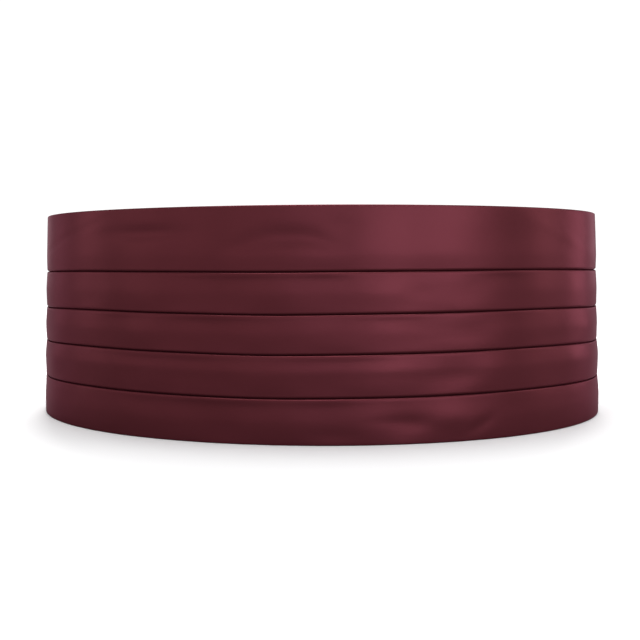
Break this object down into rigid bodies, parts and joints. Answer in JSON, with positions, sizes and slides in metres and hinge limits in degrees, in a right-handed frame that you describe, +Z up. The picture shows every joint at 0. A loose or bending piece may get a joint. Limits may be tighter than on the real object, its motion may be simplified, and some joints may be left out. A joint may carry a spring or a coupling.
{
  "type": "cummerbund",
  "caption": "Pleated satin waist sash with narrow ends, closed into a loop by plain straps and a slotted plate at the back, standing on its hem.",
  "frame": {"origin": "on the surface it stands on, under the middle of the loop's bounding box", "axes": "+Z up, the pleated front faces -Y, +X to the viewer's right when the front is seen"},
  "size_m": [0.3644, 0.261, 0.125],
  "materials": {
    "satin": "burgundy satin, soft sheen",
    "backing_cloth": "dull burgundy twill",
    "strap_cloth": "burgundy ribbed band",
    "clasp_plastic": "dark, smooth, slightly glossy"
  },
  "bodies": {
    "root": {"pleat_1": "satin", "pleat_2": "satin", "pleat_3": "satin", "pleat_4": "satin", "pleat_5": "satin", "backing": "backing_cloth", "strap_left": "strap_cloth", "strap_right": "strap_cloth", "clasp": "clasp_plastic"}
  },
  "joints": []
}
